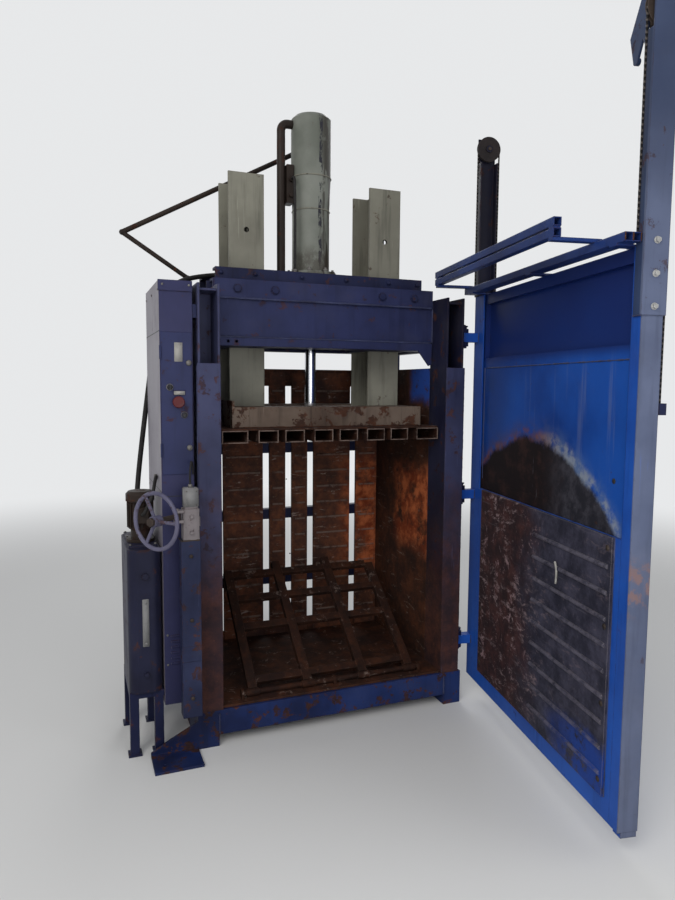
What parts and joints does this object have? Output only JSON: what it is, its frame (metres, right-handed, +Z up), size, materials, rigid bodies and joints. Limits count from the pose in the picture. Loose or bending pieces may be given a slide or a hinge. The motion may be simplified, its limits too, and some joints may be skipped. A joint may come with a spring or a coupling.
{
  "type": "recycling baler",
  "caption": "Vertical baler with an open chamber, a swinging front door with a lifting gate, and a platen pressed down by a hydraulic cylinder between guide columns.",
  "frame": {"origin": "on the floor under the middle of the baling chamber", "axes": "+X is to the right of a person who faces the chamber's front, +Y is the chamber's depth away from that person, +Z is up"},
  "size_m": [1.9242, 2.2505, 3.103],
  "materials": {
    "blue_paint": "worn satin paint",
    "cream_paint": "aged satin paint",
    "grey_paint": "satin paint",
    "dark_paint": "dull paint",
    "rusty_steel": "rusted and worn bare steel",
    "worn_steel": "worn",
    "chromed_steel": "polished",
    "chain_steel": "oiled",
    "red_plastic": "worn gloss",
    "black_plastic": "matte"
  },
  "bodies": {
    "machine": {"base_frame": "blue_paint", "floor_plate": "rusty_steel", "post_left": "blue_paint", "post_right": "blue_paint", "jamb_plates": "blue_paint", "wall_left": "rusty_steel", "wall_right": "rusty_steel", "rear_wall": "rusty_steel", "rear_liner": "rusty_steel", "rear_frame": "blue_paint", "side_beams": "blue_paint", "header_beam": "blue_paint", "header_bolts": "blue_paint", "crosshead": "blue_paint", "column_guides": "blue_paint", "cylinder_mount": "blue_paint", "barrel": "cream_paint", "gland": "worn_steel", "supply_pipe": "dark_paint", "valve_block": "dark_paint", "return_pipe": "dark_paint", "hinge_lugs": "blue_paint", "tray_rod": "rusty_steel", "cabinet_body": "grey_paint", "cabinet_brackets": "blue_paint", "tank": "blue_paint", "tank_stand": "blue_paint", "motor": "dark_paint", "lock_lugs": "blue_paint"},
    "ram": {"piston_rod": "chromed_steel", "columns": "cream_paint", "platen_tubes": "rusty_steel", "platen_plate": "rusty_steel", "platen_beams": "cream_paint"},
    "door": {"door_frame": "blue_paint", "door_skin": "blue_paint", "wear_plate": "rusty_steel", "mast_hinge": "blue_paint", "mast_free": "blue_paint", "mast_bolts": "worn_steel", "lift_chains": "chain_steel", "return_chains": "chain_steel"},
    "gate": {"gate_frame": "blue_paint", "gate_panels": "blue_paint", "tube_frame": "blue_paint"},
    "counterweight": {"counterweight": "dark_paint"},
    "sheave_hinge": {"sheave_hinge": "worn_steel"},
    "sheave_free": {"sheave_free": "worn_steel"},
    "tray": {"ejector_tray": "rusty_steel"},
    "cabinet_door": {"cabinet_door": "blue_paint"},
    "e_stop": {"e_stop": "red_plastic"},
    "push_button": {"push_button": "black_plastic"},
    "selector": {"selector": "black_plastic"},
    "lock": {"lock_bar": "blue_paint", "lock_head": "cream_paint"},
    "spindle": {"spindle": "worn_steel"},
    "handwheel": {"handwheel": "worn_steel"}
  },
  "joints": [
    {"name": "platen_travel", "type": "slide", "parent": "machine", "child": "ram", "axis": [0, 0, 1], "range_m": [-0.66, 0.09]},
    {"name": "door_swing", "type": "hinge", "parent": "machine", "child": "door", "pos_m": [0.72, -0.39, 1.13], "axis": [0, 0, 1], "range_deg": [-80, 85]},
    {"name": "gate_lift", "type": "slide", "parent": "door", "child": "gate", "axis": [0, 0, 1], "range_m": [0, 0.57], "deforming": ["lift_chains"]},
    {"name": "counterweight_travel", "type": "slide", "parent": "door", "child": "counterweight", "axis": [0, 0, 1], "range_m": [-0.57, 0], "deforming": ["return_chains"]},
    {"name": "hinge_sheave_spin", "type": "hinge", "parent": "door", "child": "sheave_hinge", "pos_m": [0.83163, -0.40765, 2.925], "axis": [0.1736, 0.9848, 0], "continuous": true},
    {"name": "free_sheave_spin", "type": "hinge", "parent": "door", "child": "sheave_free", "pos_m": [0.59425, -1.75388, 2.925], "axis": [0.1736, 0.9848, 0], "continuous": true},
    {"name": "tray_tilt", "type": "hinge", "parent": "machine", "child": "tray", "pos_m": [0, -0.386, 0.207], "axis": [1, 0, 0], "range_deg": [-38, 6]},
    {"name": "cabinet_door_swing", "type": "hinge", "parent": "machine", "child": "cabinet_door", "pos_m": [-0.848, -0.4373, 1.6], "axis": [0, 0, 1], "range_deg": [-100, 0]},
    {"name": "e_stop_press", "type": "slide", "parent": "cabinet_door", "child": "e_stop", "axis": [0, 1, 0], "range_m": [0, 0.005], "stiffness_N_per_m": 800},
    {"name": "button_press", "type": "slide", "parent": "cabinet_door", "child": "push_button", "axis": [0, 1, 0], "range_m": [0, 0.004], "stiffness_N_per_m": 500},
    {"name": "selector_turn", "type": "hinge", "parent": "cabinet_door", "child": "selector", "pos_m": [-0.809, -0.44, 1.692], "axis": [0, 1, 0], "range_deg": [-45, 45]},
    {"name": "lock_swing", "type": "hinge", "parent": "machine", "child": "lock", "pos_m": [-0.703, -0.466, 0.687], "axis": [0, 0, 1], "range_deg": [-20, 15]},
    {"name": "spindle_swing", "type": "hinge", "parent": "lock", "child": "spindle", "pos_m": [-0.8, -0.55, 1.131], "axis": [0, 0, 1], "range_deg": [-15, 15]},
    {"name": "handwheel_spin", "type": "hinge", "parent": "spindle", "child": "handwheel", "pos_m": [-0.8, -0.55, 1.131], "axis": [-0.7826, -0.6225, 0], "continuous": true}
  ],
  "couplings": [
    {"joint": "counterweight_travel", "follows": "gate_lift", "ratio": -1},
    {"joint": "hinge_sheave_spin", "follows": "gate_lift", "rad_per_m": 17.544},
    {"joint": "free_sheave_spin", "follows": "gate_lift", "rad_per_m": 17.544}
  ]
}
